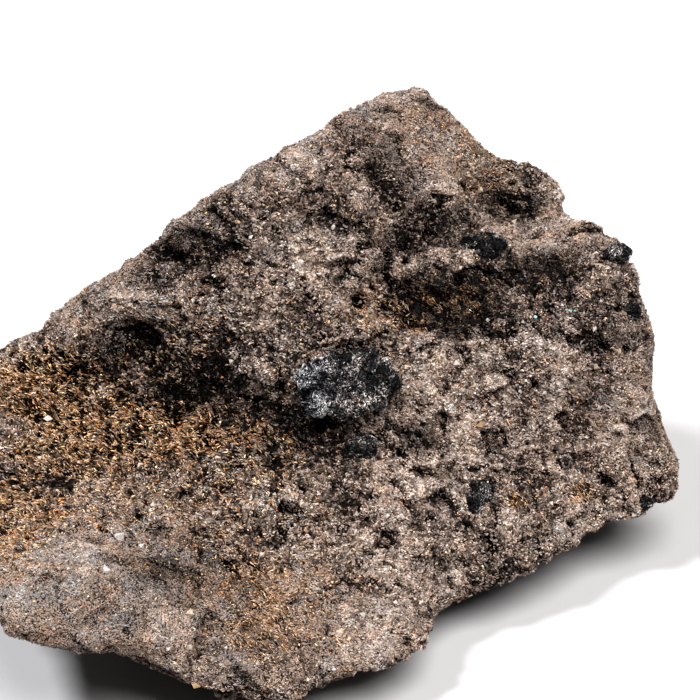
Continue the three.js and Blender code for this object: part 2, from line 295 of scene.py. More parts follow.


# ---- where the stains, tones, painted shade and painted light lie ----

# Each zone has a place from the largest crystal's middle, half sizes and a strength.

# Rusty ground.
RUST_ZONES = [
    ((-24, -6.4, -2.1), (14, 7, 5), 1.0),
    ((-33, -3.1, 0.8), (8, 6, 5), 1.0),
    ((-15.6, -6.5, -2.8), (10, 4, 4), 1.0),
    ((-8.2, -6.5, -3.3), (7, 3.5, 3), 0.8),
    ((-34, -20, -4.8), (6, 9, 5), 0.9),
    ((-29.5, -10, -3.2), (9, 5, 4), 0.9),
    ((-19, 2, 3), (6, 4, 6), 0.35),
    ((-14, -10.5, -4), (9, 4, 4), 0.6),
    ((-13, -14, -6), (14, 7, 6), 0.3),
    ((-25, -15.5, -5), (10, 6, 4), 0.45),
    ((1.5, 7.2, 4.9), (5, 4, 2.4), 0.6),
    ((6.5, 8.6, 3.8), (4, 3, 3), 0.9),
    ((12, 10.5, 5), (5, 4, 3), 0.8),
    ((15, 25.8, 14.2), (5, 5, 5), 0.5),
    ((9.5, 24, 18), (4, 4, 4), 0.25),
    ((-7.9, -25, -13.5), (5.5, 4.5, 4), 0.75),
    ((-10, -19, -10.8), (5, 3.5, 3), 0.5),
    ((-8, -21, -12), (12, 9, 7), 0.3),
    ((25.4, -0.5, -13.1), (1.6, 1.6, 1.4), 0.8),
    ((18.1, -3.2, -12.7), (1.5, 1.5, 1.3), 0.9),
    ((-20, 20, 6), (9, 8, 7), 0.6),
    ((12, 31, -2), (10, 7, 7), 0.7),
    ((30, 18, 0), (5, 8, 6), 0.5),
]
# Paler ground. Part of it is painted light where a face catches the light, such as the bowl's
# floor.
PALE_AND_LIT_ZONES = [
    # Painted light: the lit floor of the bowl.
    ((0.4, 6.6, 5.9), (5, 3, 2), 1.2),
    ((3.5, 8.0, 4.6), (4, 3, 2), 0.6),
    ((-3.6, 12.9, 18.6), (5, 4, 4), 0.8),
    ((26, -1.5, -14.0), (5, 4, 4), 0.5),
    ((-31, -7.2, -2.2), (6, 4, 3), 0.5),
    ((-22, 2.6, 6.9), (6, 4, 2.6), 0.6),
    ((3.8, -18.5, -14.9), (6, 6, 5), 0.7),
    ((1, -25, -17), (7, 5, 4), 0.8),
    ((-3.5, -6.8, -5.2), (4, 3, 2), 0.5),
    ((26.9, -3.2, -15.0), (6, 4, 4), 0.8),
    ((19.6, 15.4, 9.0), (4, 3, 2), 0.4),
    ((-31, -27, -5), (8, 8, 5), 0.6),
    ((-14, -29, -10), (8, 5, 6), 0.6),
    ((30.5, 3.5, -6), (6, 5, 6), 0.6),
    ((5, -8.5, -11), (8, 6, 5), 0.6),
    ((8.5, 3.5, -2), (4, 4, 4), 1.0),
    ((4.6, -4.4, -6.8), (4, 3, 3), 1.0),
    ((-3.0, -4.9, -5.5), (3, 3, 2), 0.4),
    ((20, 8, 4.6), (4, 3, 2), 0.3),
    ((30, 1, -13), (4, 4, 4), 0.7),
    ((12, 1.4, -2.9), (7, 5, 6), 0.9),
    ((16.5, 4.5, 0.0), (6, 5, 3), 0.5),
    ((23, 3.5, -2.4), (8, 6, 4), 0.5),
    ((13, -1, -8), (8, 5, 5), 0.7),
    ((-5, 7.6, 11), (7, 4, 5), 0.8),
    ((26, 8, 5), (4, 4, 3), 0.1),
    ((-10, 4.6, 8.8), (5, 4, 4), 0.4),
    ((9, 24, 18), (9, 8, 7), 0.4),
    ((-14.9, -9.7, -3.2), (4, 3, 3), 0.6),
    ((-3, -15, -10), (9, 7, 6), 0.5),
]
# Ground worn smooth: shallower, with fewer gaps and less contrast between its grains.
WORN_ZONES = [
    ((-22, -29, -9), (19, 13, 10), 1.0),
    ((-4, -25, -15), (12, 9, 7), 0.8),
    ((10, 27, 19), (14, 9, 8), 0.8),
    ((24, 18, 8), (12, 7, 6), 0.6),
    ((11, 10, 5), (6, 5, 4), 0.8),
    ((31, 4, -4), (5, 8, 12), 0.5),
    ((-30.8, 3.6, 6.6), (6, 4, 3), 0.7),
    ((-25.4, 5.5, 10.5), (6, 4, 3), 0.8),
    ((-19.2, 9.8, 14.8), (6, 4, 3), 0.8),
    ((-12.7, 12, 19.5), (6, 5, 3), 0.8),
    ((-5.2, 17, 22), (6, 5, 3), 0.7),
    ((0.2, 23, 22.5), (6, 5, 3), 0.8),
    ((34.5, 7, -4), (4, 6, 10), 0.7),
]
# Ground with a blue-grey tint.
COOL_ZONES = [
    ((-14.9, -9.7, -3.2), (3.2, 2.6, 2.6), 1.0),
    ((-8, -14, -7), (3.5, 3, 3), 0.6),
    ((-20, -27, -8), (4, 3, 3), 0.6),
    ((-31, -31, -5), (3, 3, 3), 0.6),
    ((-19, 9, 16), (6, 5, 4), 0.4),
    ((-20, 4, 7), (9, 5, 5), 0.35),
    ((-24, -27, -7), (12, 9, 7), 0.25),
]
# Darker ground: partly darker rock, partly painted shade in the hollows, under the ledges and the
# brow, and in the valley above the foot.
DARK_AND_SHADED_ZONES = [
    ((-23, 4.0, 2.2), (6, 5, 3.0), 1.0),
    ((-17.5, 1.2, 0.6), (6, 4, 3.0), 1.0),
    ((-14, 0.0, -1.4), (5, 4, 2.6), 1.1),
    ((-10.6, -0.6, -1.6), (5, 3.6, 3.0), 1.1),
    ((-6.0, -2.2, -3.4), (5, 4, 2.2), 1.0),
    ((-3.5, -4.6, -4.8), (5, 3.6, 2.2), 1.0),
    ((-0.6, -3.9, -5), (3.5, 3, 2.0), 0.9),
    ((-16, 8.5, 12.3), (5.5, 3.5, 2.3), 1.0),
    ((-20.5, 6.3, 9.6), (3, 3, 2.6), 0.4),
    ((-27, 1.6, 2.0), (4, 4, 3), 0.7),
    # Painted shade: the bowl's right wall and the shadow band under the ledge.
    ((10, 10.6, 4.6), (7, 5, 4.0), 1.3),
    ((12.5, 9.6, 5.6), (5, 4, 3.6), 1.3),
    ((19, 13.6, 6.6), (9, 4, 2.6), 0.8),
    ((24, 11.0, 6.2), (5, 3.4, 2.6), 0.9),
    ((17, 8.4, 4.6), (6, 4, 2.4), 0.3),
    ((12, 17, 11), (6, 4, 3), 0.8),
    ((27, 7.4, 1.1), (3.4, 3, 1.8), 0.9),
    ((6.6, 15, 10.4), (2.6, 3.5, 3.4), 0.8),
    ((19, 24.8, 9), (5, 3, 2), 0.8),
    ((4.1, 18.5, 16.1), (5, 4, 4), 0.8),
    ((-3.3, 10.7, 16), (3, 3, 2), 0.5),
    ((-17.8, -24.5, -9.5), (5, 4, 3), 0.6),
    ((-17, 3, 4), (5, 4, 2.5), 0.5),
    ((-18.6, -0.2, -0.2), (6, 3.5, 2.4), 1.0),
    ((-10.8, -9.0, -3.6), (5, 3, 2.4), 0.6),
    ((-11, -6.8, -4.4), (5, 3, 2), 0.5),
    ((12.5, 9.4, 3.4), (6, 5, 3.4), 1.3),
    ((12.5, 8.6, 4.6), (4, 4, 3), 1.3),
    ((9.8, 8.7, 2.4), (4, 3, 2), 1.2),
    ((27, 7.6, 5.0), (3.5, 3, 2.6), 0.4),
    ((-12, -22, -10), (7, 5, 4), 0.3),
    ((-11, -28, -14), (6, 4, 4), 0.35),
    ((-18.6, 0.4, -0.6), (7, 3, 2), 1.0),
    ((-18.6, -1.6, -0.9), (7, 3.5, 2.2), 1.2),
    ((-18, -10, -3.6), (6, 4, 3), 0.3),
    ((4.5, 9.6, 3.6), (4, 3, 2), 0.5),
    ((8, 10.2, 3.2), (5, 4, 3), 1.2),
    ((-11, 8.5, 12.5), (4, 4, 3), 0.3),
    ((-9.5, -3.0, -3.2), (6, 4, 3), 1.0),
    ((18.5, -0.4, -8), (3, 3, 3), 0.4),
    ((4.5, 22, 16), (3.5, 4, 4), 0.7),
    ((7.2, -1.9, -6), (2.4, 2, 2), 0.8),
    ((-30, -13.6, -4.6), (3, 1.4, 1.2), 0.6),
    ((-15, -22, -10), (8, 3, 3), 0.4),
]

ZONE_RAGGED = 0.3  # how far a zone's edge wanders, as a share of its half size
ZONE_RAGGED_SIZE = 4.0
ZONE_FADES = (0.55, 1.2)  # where a zone starts to fade and where it ends


def zone(points, zones):
    """How strongly points lie in a set of oval zones, from 0 to 1, with ragged edges."""
    ragged = ZONE_RAGGED * layered(points, ZONE_RAGGED_SIZE, SEED + 60, 3)
    total = np.zeros(len(points))
    for at, half, strength in zones:
        reach = lengths((points - HEART - at) / half)
        total = np.maximum(total, strength * (1 - smooth_step(*ZONE_FADES, reach + ragged)))
    return total


# ---- the schist ----

BODY_VOXEL = 0.33
UNDERSIDE_VOXEL = 0.8
LAYERING = np.array([0.55, -0.25, 0.80])  # across the schist's layers
LAYER_STRETCH = 1.1  # how much thinner features are across the layers than along them
CHIPS = (4.6, 0.22)  # flat chips: size, slope
CRUMBS = (0.8, 0.24, 0.12)  # small crumbs: size, slope, how much their middles stand out
# Broad waves and lumps: size, height, seed.
WAVES = [(9.0, 0.22, 3)]
LUMPS = [(4.6, 0.30, 1), (2.3, 0.22, 2), (1.3, 0.14, 5)]
CRYSTAL_RIM = 0.28  # how much the ground stands out around the crystals
DIPS = (1.3, 0.30)  # dips between the crumbs: size, depth
# Pits: spacing, share of places that have one, least and greatest half width, depth.
PITS = [
    (4.2, 0.35, 0.6, 1.3, 1.1),
    (2.3, 0.40, 0.4, 0.85, 0.8),
]
# Cracks: one end, other end, half width, depth.
CRACKS = [
    ((30.3, 3.3, -8.4), (32.6, 0.6, -14.6), 0.34, 0.9),
    ((-13.6, -17.8, -7.4), (-8.5, -19.9, -11.5), 0.30, 0.7),
    ((3.9, -5.6, -7.5), (7.1, -9.5, -10.7), 0.28, 0.7),
    ((-30.8, -15.3, -5.0), (-27.3, -15.6, -5.1), 0.36, 0.8),
    ((-9.5, 4.5, 8.0), (-6.2, 2.2, 3.6), 0.22, 0.5),
    ((15.5, 0.6, -7.6), (18.8, 0.2, -8.4), 0.30, 0.7),
]


def cracks(points):
    """Depth of the cracks at each point."""
    bent = points - HEART + 0.5 * swirl(points, 1.4, SEED + 15)
    depth = np.zeros(len(points))
    for start, end, half_width, deep in CRACKS:
        run = np.array(end) - start
        along = np.clip((bent - start) @ run / (run @ run), 0, 1)
        away = lengths(bent - start - along[:, None] * run)
        closing = 1 - 0.7 * np.abs(along * 2 - 1) ** 3
        cut = deep * (1 - smooth_step(0.4, 1.5, away / (half_width * closing)))
        depth = np.maximum(depth, cut)
    return depth


def layer_space(points):
    """Points drawn apart across the layers, so that features measured there lie along them."""
    across = unit(LAYERING[None])[0]
    return points + np.outer(points @ across, across) * LAYER_STRETCH


def near_crystals(points):
    """1 on and beside the crystals, falling to 0 a little way off."""
    near = np.zeros(len(points))
    for name in CRYSTALS:
        low, high = box_mm(name)
        reach = lengths((points - (low + high) / 2) / ((high - low) / 2))
        near = np.maximum(near, 1 - smooth_step(0.85, 1.25, reach))
    return near


def pits(points, along_layers):
    """Depth of the pits and of the dips between the crumbs at each point."""
    bent = along_layers + 0.9 * swirl(points, 1.3, SEED + 11)
    size, dip = DIPS
    depth = dip * smooth_step(0.16, 0.5, -swell(along_layers, size, SEED + 14))
    for number, (size, share, low, high, deep) in enumerate(PITS):
        near, _, _, numbers = nearest_cells(bent, size, SEED + 7 + number)
        reach = low + (high - low) * numbers[:, 1]
        pit = deep * (1 - smooth_step(0.5, 1.15, near / reach)) * (numbers[:, 0] < share)
        depth = np.maximum(depth, pit)
    return depth


def broken_ground(points):
    """How far the broken schist stands out from the smooth block, how deep its pits are, and
    how far it stands out from the ground around it."""
    along_layers = layer_space(points)
    size, slope = CHIPS
    chips = slope * facets(points, size, SEED)
    broad = swells(along_layers, WAVES) + CRYSTAL_RIM * near_crystals(points)
    lumps = swells(along_layers, LUMPS)
    size, slope, raised = CRUMBS
    near, _, way, marks = nearest_cells(points, size, SEED + 4)
    crumbs = raised * (0.6 - near / size) + slope * dots(way, marks * 2 - 1)
    worn = zone(points, WORN_ZONES)
    depth = np.maximum(pits(points, along_layers) * (1 - 0.6 * worn), cracks(points))
    crest = (chips + lumps) * (1 - 0.45 * worn) + crumbs * (1 - 0.3 * worn) - depth
    return broad + crest, depth, crest


TONE_PATCHES = [(6.0, 0.18, 51), (2.2, 0.18, 52), (1.0, 0.20, 53)]  # size, height, seed
PALER = 0.22  # how much paler the ground is in a pale zone
# Painted shade in the hollows, and in part of the dark zones.
DARK_AND_SHADE_AMOUNT = 0.30  # how much darker it is in a dark zone, and in a hollow
# Painted light: paler where the ground stands out.
CREST_PAINTED_LIGHT = 0.12  # how much paler it is where it stands out
WORN_EVENER = 0.35  # how much evener it is where it is worn


def tone_bias(points, relief):
    """From 0 for the darkest ground to 1 for the palest, with painted shade in hollows and painted
    light on crests.
    """
    patchy = swells(layer_space(points), TONE_PATCHES)
    # The pale zones add painted light and the dark zones add painted shade, each mixed with the
    # rock's own tone.
    zones = PALER * zone(points, PALE_AND_LIT_ZONES) - DARK_AND_SHADE_AMOUNT * zone(points, DARK_AND_SHADED_ZONES)
    hollow, crest = relief[:, 0], relief[:, 1]
    # Painted shade darkens the hollows, and painted light makes the crests paler.
    local = patchy - DARK_AND_SHADE_AMOUNT * hollow + CREST_PAINTED_LIGHT * crest
    evened = local * (1 - WORN_EVENER * zone(points, WORN_ZONES))
    return np.clip(0.5 + zones + evened, 0, 1)


def body_piece(name, points, quads, normals, relief, material):
    """One piece of the block's ground, with what its material reads."""
    used, local = np.unique(quads, return_inverse=True)
    local = local.reshape(-1, 4)
    points, normals, relief = points[used], normals[used], relief[used]
    piece = mesh_object(name, points, local, 4, material)
    # Painted shade: the ground is darkened in hollows and in the dark zones, less where it is worn.
    shade = 1 - (1 - 0.9 * relief[:, 0]) * (1 - 0.7 * zone(points, DARK_AND_SHADED_ZONES))
    shade *= 1 - 0.5 * zone(points, WORN_ZONES)
    add_colours(piece.data, "rust", zone(points, RUST_ZONES), "POINT")
    add_colours(piece.data, "shade", shade, "POINT")
    add_colours(piece.data, "bias", tone_bias(points, relief), "POINT")
    add_box_map(piece.data, points, local, normals)
    return piece


# Where the lower front edge stands further out than the smooth block's, or less far: place from
# the largest crystal's middle, half sizes, how far out.
EDGE_SHIFTS = [
    ((4.2, -23.3, -17.1), (7.0, 7.0, 6.0), 2.4),
    ((12.2, -15.5, -16.6), (5.5, 5.5, 6.0), -2.4),
]
EDGE_WAY = (0.62, -0.78, 0.0)  # outwards from the lower front edge


def edge_shifted(points):
    """The block's points, with the bulge and the notch of its lower front edge."""
    moved = np.zeros(len(points))
    for place, half, amount in EDGE_SHIFTS:
        reach = lengths((points - HEART - place) / half)
        moved += amount * (1 - smooth_step(0.3, 1.0, reach))
    return points + moved[:, None] * EDGE_WAY


FLAT_FOOT = 0.9  # the relief fades out over this height above the floor
LEVEL_SPREAD = 1.8  # how far the ground is evened out to find what lies hollow, in square mm


def ground(voxel, rounds, sunk):
    """The block's broken surface, `sunk` millimetres under the grains: points, quads, the smooth
    block's normals, and for each point how deep in a hollow it lies (0 to 1) and how far above
    the ground around it (-1 to 1)."""
    points, quads = remeshed(BLOCK, voxel)
    points = edge_shifted(smoothed(points, quads, rounds))
    normals = point_normals(points, quads)
    flat_foot = smooth_step(0.0, FLAT_FOOT, points[:, 2])
    out, depth, crest = broken_ground(points)
    points = points + normals * (out * flat_foot - sunk)[:, None]
    points[:, 2] = np.maximum(points[:, 2], 0)
    level = smoothed(out[:, None], quads, int(LEVEL_SPREAD / voxel**2))[:, 0]
    hollow = np.maximum(smooth_step(0.05, 0.45, level - out), 0.8 * smooth_step(0.2, 0.7, depth))
    return points, quads, normals, np.column_stack([hollow, np.clip(crest / 0.5, -1, 1)])


UNDERSIDE_TILT = -0.45  # the coarse underside is what looks further down than this
BODY_TILT = -0.6  # the fine meshes leave out what looks further down than this
FRONT_TILT = 0.75  # the front mesh leaves out what looks further up than this


def build_body(material):
    """The block's ground in pieces. The underside is coarser and reaches up inside the rest."""
    points, quads, normals, relief = ground(UNDERSIDE_VOXEL, rounds=2, sunk=0.25)
    under = normals[quads].mean(axis=1)[:, 2] < UNDERSIDE_TILT
    underside = body_piece("schist_foot", points, quads[under], normals, relief, material)
    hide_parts(BLOCK)
    points, quads, normals, relief = ground(BODY_VOXEL, rounds=12, sunk=0.05)
    facing = normals[quads].mean(axis=1)
    kept = facing[:, 2] > BODY_TILT
    quads, facing = quads[kept], facing[kept]
    front = (facing[:, 1] < 0) & (facing[:, 2] < FRONT_TILT)
    body_piece("schist_front", points, quads[front], normals, relief, material)
    body_piece("schist_back", points, quads[~front], normals, relief, material)
    return points, quads, relief


# ---- grains ----

# A splinter's faces. The side that lies in the rock is left out.
GRAIN_FACES = np.array([[0, 1, 3], [0, 3, 2], [1, 2, 3]])
GRAIN_SIZE = 0.62  # the ground's own grains, each covered by several splinters
GRAINS_PER_PIECE = 53000
GRAIN_PIECES = 4
PLACES_TRIED = 2.1  # for each splinter that is kept
SPLINTER_LENGTH, RUSTY_LONGER, LENGTH_LIMITS = 0.28, 0.14, (0.12, 1.1)
SPLINTER_WIDTH, RUSTY_NARROWER, WIDTH_LIMITS = 0.17, 0.085, (0.06, 0.4)
GRAIN_WAY = (0.82, -0.05, -0.57)  # the way most grains lie
LOWEST = 0.01  # no grain comes nearer to the floor than this
SHINY_SHARE, SHINY, DULL = 0.08, 0.2, 0.65  # share of shiny splinters, both roughnesses


def spread_over(points, quads, count, rng, weight):
    """Random places on quads, in proportion to their area and a weight for each."""
    share = np.cumsum(lengths(face_vectors(points, quads)) * weight)
    wanted = (np.arange(count) + rng.random(count)) / count * share[-1]
    chosen = np.minimum(np.searchsorted(share, wanted), len(quads) - 1)
    corner = points[quads[chosen]]
    u, v = rng.random((2, count, 1))
    at = corner[:, 0] * (1 - u) * (1 - v) + corner[:, 1] * u * (1 - v)
    at += corner[:, 2] * u * v + corner[:, 3] * (1 - u) * v
    return at, chosen


def splinters(at, up, along, length, width, height, rng):
    """Corner points of one four-sided splinter at each place."""
    side = unit(np.cross(up, along))
    top = unit(np.cross(along, side))
    count = len(at)
    half = length[:, None] / 2
    broad = width[:, None] / 2
    tall = height[:, None]
    return np.stack([
        at - along * half - side * broad * rng.uniform(0.2, 1, (count, 1)),
        at - along * half * rng.uniform(0.2, 1, (count, 1)) + side * broad,
        at + along * half - top * tall * 0.4 - side * broad * rng.uniform(-0.6, 0.6, (count, 1)),
        at + along * half * rng.uniform(-0.7, 0.7, (count, 1)) + top * tall,
    ], axis=1)


def grain_object(name, corners, faces, colours, roughness, material):
    """One mesh of many small grains, each with its own colour and its own cell of the bake map."""
    count, sides = len(corners), len(faces)
    joined = (np.arange(count)[:, None, None] * corners.shape[1] + faces).reshape(-1, 3)
    piece = mesh_object(name, corners.reshape(-1, 3), joined, 3, material)
    add_colours(piece.data, "tone", np.repeat(colours, sides, axis=0), "FACE")
    add_colours(piece.data, "gloss", np.repeat(roughness, sides), "FACE")
    cells = math.ceil(math.sqrt(count))
    cell = np.column_stack([np.arange(count) % cells, np.arange(count) // cells])
    triangle = np.array([[0.25, 0.25], [0.75, 0.25], [0.5, 0.75]])
    uv = np.broadcast_to(cell[:, None, None] + triangle, (count, sides, 3, 2)) / cells
    bake = piece.data.uv_layers.new(name=BAKE_MAP)
    bake.data.foreach_set("uv", uv.reshape(-1))


TONES = np.array([
    [0.006, 0.0045, 0.0035],  # biotite
    [0.108, 0.076, 0.059],  # brown-grey
    [0.275, 0.201, 0.162],  # grey-pink
    [0.430, 0.332, 0.274],  # pale feldspar
    [0.590, 0.515, 0.455],  # quartz
])
TONE_EDGES = (0.30, 0.44, 0.62, 0.84)  # where each tone gives way to the next
COOL_TINT = (0.82, 1.0, 1.12)
RUSTY = (0.50, 0.18, 0.045)
OCHRE = (0.62, 0.385, 0.21)
WARM_TINT = (0.10, -0.02, -0.14)  # added share of each colour in warm patches
WARM_SIZES = (3.2, 1.5)
BRIGHTEST = 0.9


def grain_colours(points, draw, relief, shared):
    """A colour for each splinter, from the ground it lies in, the number that it shares with the
    others of its grain, and its own random numbers."""
    rust, worn = zone(points, RUST_ZONES), zone(points, WORN_ZONES)
    own = (0.38 * shared + (0.13 + 0.10 * rust) * draw[:, 0] - 0.26) * (1 - 0.64 * worn) + 0.22
    # Through tone_bias, splinters in hollows take painted shade and those on crests take painted
    # light.
    pick = np.clip(own + 0.6 * tone_bias(points, relief), 0, 0.999)
    colour = TONES[np.searchsorted(TONE_EDGES, pick)]
    cool = draw[:, 5] < 0.12 + 0.8 * zone(points, COOL_ZONES)
    colour = np.where(cool[:, None], colour * COOL_TINT, colour)
    rusty = RUSTY * (0.15 + 1.05 * draw[:, 1:2])
    ochre = OCHRE * (0.09 + 1.5 * draw[:, 1:2] ** 2)
    stain = np.where(draw[:, 2:3] < 0.2, rusty, ochre)
    stained = (draw[:, 3] < 0.05 + 0.75 * rust) & (pick > TONE_EDGES[0])
    colour = np.where(stained[:, None], stain, colour)
    # Painted shade in the dark zones, mixed with darker rock there.
    colour = colour * (1 - 0.45 * zone(points, DARK_AND_SHADED_ZONES))[:, None]
    warmth = swell(points, WARM_SIZES[0], SEED + 55) * (0.7 + 0.8 * worn)
    warmth += 0.6 * swell(points, WARM_SIZES[1], SEED + 56)
    colour = colour * (1 + warmth[:, None] * WARM_TINT)
    spread = 0.55 * (1 - 0.75 * worn) + 0.3 * rust
    bright = 0.82 - 0.12 * worn + spread * (draw[:, 4] - 0.5)
    return np.clip(colour * bright[:, None], 0, BRIGHTEST)


def grain_weight(points, quads, facing, relief):
    """How thickly the splinters lie on each quad: less in hollows and on the back, more in rust."""
    middle_height = points[quads].mean(axis=1)[:, 2]
    # Fewer splinters in the hollows let the near-black ground show, which adds to the painted shade
    # there.
    weight = smooth_step(0.0, 0.8, middle_height) * (1 - 0.75 * relief[:, 0])
    weight *= np.where(facing[:, 1] > 0.5, 0.6, 1.0)
    weight *= 1 + 0.8 * zone(points[quads[:, 0]], RUST_ZONES)
    return weight


def bare_share(at, rust, worn, grain_edge):
    """Share of the splinters that is left out at each place, for the gaps between grains."""
    # More splinters are left out in the dark zones, so that the near-black ground there adds to
    # their painted shade.
    dark = zone(at, DARK_AND_SHADED_ZONES)
    gap = smooth_step(0.02, 0.30, -swell(layer_space(at), 0.8, SEED + 30))
    wide_gap = smooth_step(0.0, 0.25, -swell(layer_space(layer_space(at)), 2.2, SEED + 32) - 0.03)
    border = 1 - smooth_step(0.04, 0.14, grain_edge)
    closed = (1 - 0.75 * gap * (1 - 0.85 * worn)) * (1 - 0.8 * border * (1 - 0.8 * worn))
    return 1 - closed * (1 - np.maximum(0.6 * dark, 0.8 * rust) * 0.95 * wide_gap)


def grain_ways(at, up, marks, rust, rng):
    """The way that each splinter lies: by the layers, by its grain, and in strands in the rust."""
    count = len(at)
    strand = swirl(at, 1.6, SEED + 40)
    along = 0.6 * rng.normal(0, 1, (count, 3)) + GRAIN_WAY * (0.8 + 0.7 * rust[:, None])
    along += (marks * 2 - 1) * (1.3 - 0.8 * rust[:, None]) + 1.1 * strand * rust[:, None]
    along -= up * dots(along, up)[:, None] * rng.uniform(0.4, 1, (count, 1))
    return unit(along)


def build_grains(points, quads, relief, material):
    """Pieces of joined splinters that lie on the dark ground, with gaps between them."""
    rng = np.random.default_rng(SEED)
    faces = unit(face_vectors(points, quads))
    face_relief = relief[quads].mean(axis=1)
    weight = grain_weight(points, quads, faces, face_relief)
    wanted = GRAINS_PER_PIECE * GRAIN_PIECES
    at, chosen = spread_over(points, quads, int(wanted * PLACES_TRIED), rng, weight)
    rust, worn = zone(at, RUST_ZONES), zone(at, WORN_ZONES)
    first, second, _, marks = nearest_cells(layer_space(at), GRAIN_SIZE, SEED + 35)
    bare = bare_share(at, rust, worn, second - first)
    kept = rng.permutation(np.flatnonzero(rng.random(len(at)) > bare))[:wanted]
    at, chosen, marks, rust, worn = at[kept], chosen[kept], marks[kept], rust[kept], worn[kept]
    count = len(at)
    up, relief = faces[chosen], face_relief[chosen]
    along = grain_ways(at, up, marks, rust, rng)
    length = (SPLINTER_LENGTH + RUSTY_LONGER * rust) * rng.lognormal(0, 0.38, count)
    width = (SPLINTER_WIDTH - RUSTY_NARROWER * rust) * rng.lognormal(0, 0.32, count)
    length, width = np.clip(length, *LENGTH_LIMITS), np.clip(width, *WIDTH_LIMITS)
    height = width * rng.uniform(0.3, 0.8, count) * (1 - 0.4 * worn)
    lift = 0.02 + 0.10 * rng.random(count) * (1 - 0.6 * relief[:, 0]) * (1 - 0.5 * worn)
    corners = splinters(at + up * lift[:, None], up, along, length, width, height, rng)
    corners[:, :, 2] = np.maximum(corners[:, :, 2], LOWEST)
    colours = grain_colours(at, rng.random((count, 6)), relief, marks[:, 0])
    roughness = np.where(rng.random(count) < SHINY_SHARE, SHINY, DULL)
    for number in range(GRAIN_PIECES):
        part = slice(number, None, GRAIN_PIECES)
        name = "schist_grains_%d" % (number + 1)
        grain_object(
            name, corners[part], GRAIN_FACES, colours[part], roughness[part], material
        )


# ---- quartz ----

QUARTZ_COUNT = 380
QUARTZ_RADIUS, QUARTZ_RADIUS_LIMITS = 0.22, (0.12, 0.5)
QUARTZ_TONE = (0.33, 0.285, 0.25)
QUARTZ_WARMER = (1.0, 0.75, 0.45)
QUARTZ_ROUGHNESS = 0.35
WHITE = (0.27, 0.25, 0.235)
PEACH = (0.26, 0.205, 0.155)
# The largest pale grains and the painted glints, coloured specks in place of flashes of light:
# place from the largest crystal's middle, radius, colour.
NAMED_GRAINS = [
    ((-23.1, -21.6, -6.1), 0.75, WHITE),
    ((-23.8, -27.0, -6.3), 0.60, WHITE),
    ((-20.9, -22.0, -6.4), 0.45, WHITE),
    ((-21.6, -11.5, -3.5), 0.55, WHITE),
    ((-15.7, -27.4, -11.1), 0.60, PEACH),
    ((-0.7, -24.1, -15.6), 0.70, PEACH),
    ((2.6, -22.9, -16.6), 0.60, WHITE),
    ((27.1, 4.9, -1.1), 0.45, PEACH),
    ((18.8, 2.9, -2.8), 0.35, WHITE),
    ((18.8, 22.7, 8.2), 0.45, PEACH),
    ((12.6, 11.1, 8.4), 0.30, PEACH),
    ((29.8, 6.8, 0.4), 0.40, PEACH),
    ((14.9, 25.0, 11.4), 0.45, PEACH),
    ((31.8, 5.9, -4.6), 0.30, WHITE),
    ((15.2, 6.5, 4.4), 0.25, WHITE),
    ((7.1, 21.9, 17.9), 0.25, WHITE),
    ((-10.5, 6.3, 11.4), 0.25, WHITE),
    ((16.5, -1.5, -9.6), 0.45, WHITE),
    ((-34.8, -8.7, -1.3), 0.30, WHITE),
    # Painted glints: tiny specks coloured like flashes of reflected light.
    ((25.4, 7.7, 5.7), 0.16, (0.45, 0.30, 0.80)),
    ((24.0, 7.3, 5.0), 0.16, (0.10, 0.55, 0.45)),
    ((24.6, 7.2, 4.8), 0.14, (0.15, 0.60, 0.50)),
    ((18.5, 5.6, 1.7), 0.14, (0.20, 0.60, 0.60)),
    ((20.8, 7.2, 4.0), 0.18, (0.25, 0.70, 0.85)),
    ((21.8, 7.4, 4.3), 0.12, (0.70, 0.15, 0.12)),
    ((19.6, 13.5, 5.3), 0.12, (0.12, 0.50, 0.20)),
]
OCTAHEDRON = np.array([[1, 0, 0], [-1, 0, 0], [0, 1, 0], [0, -1, 0], [0, 0, 1], [0, 0, -1]])
OCTAHEDRON_FACES = np.array([
    [0, 2, 4], [2, 1, 4], [1, 3, 4], [3, 0, 4], [2, 0, 5], [1, 2, 5], [3, 1, 5], [0, 3, 5],
])


def build_quartz(points, quads, relief, material):
    """Larger pale grains scattered over the block, and a few coloured specks that are painted
    glints.
    """
    rng = np.random.default_rng(SEED + 2)
    count = QUARTZ_COUNT
    middles = points[quads].mean(axis=1)
    hollow = relief[quads][:, :, 0].mean(axis=1)
    weight = smooth_step(0.3, 1.0, middles[:, 2]) * (1 - hollow)
    weight *= (1 - 0.9 * zone(middles, DARK_AND_SHADED_ZONES)) * (0.15 + 0.85 * zone(middles, PALE_AND_LIT_ZONES))
    at, chosen = spread_over(points, quads, count, rng, weight)
    up = unit(face_vectors(points, quads))[chosen]
    radius = rng.lognormal(math.log(QUARTZ_RADIUS), 0.35, count)
    radius = np.clip(radius, *QUARTZ_RADIUS_LIMITS)
    shape = OCTAHEDRON[None] * rng.uniform(0.6, 1.3, (count, 6, 1))
    turn = np.linalg.qr(rng.normal(0, 1, (count, 3, 3)))[0]
    corners = np.einsum("nij,nkj->nki", turn, shape) * radius[:, None, None]
    corners += (at + up * (radius * 0.25)[:, None])[:, None]
    tone = QUARTZ_TONE * rng.uniform(0.5, 1.2, (count, 1))
    warm = rng.random((count, 1)) < 0.1
    tone = np.where(warm, tone * QUARTZ_WARMER, tone)
    for number, (place, size, colour) in enumerate(NAMED_GRAINS):
        nearest = points[np.argmin(lengths(points - HEART - place))]
        corners[number] = nearest + shape[number] @ turn[number] * size
        tone[number] = colour
    corners[:, :, 2] = np.maximum(corners[:, :, 2], LOWEST)
    roughness = np.full(count, QUARTZ_ROUGHNESS)
    grain_object("schist_quartz", corners, OCTAHEDRON_FACES, tone, roughness, material)


# ---- crystals ----

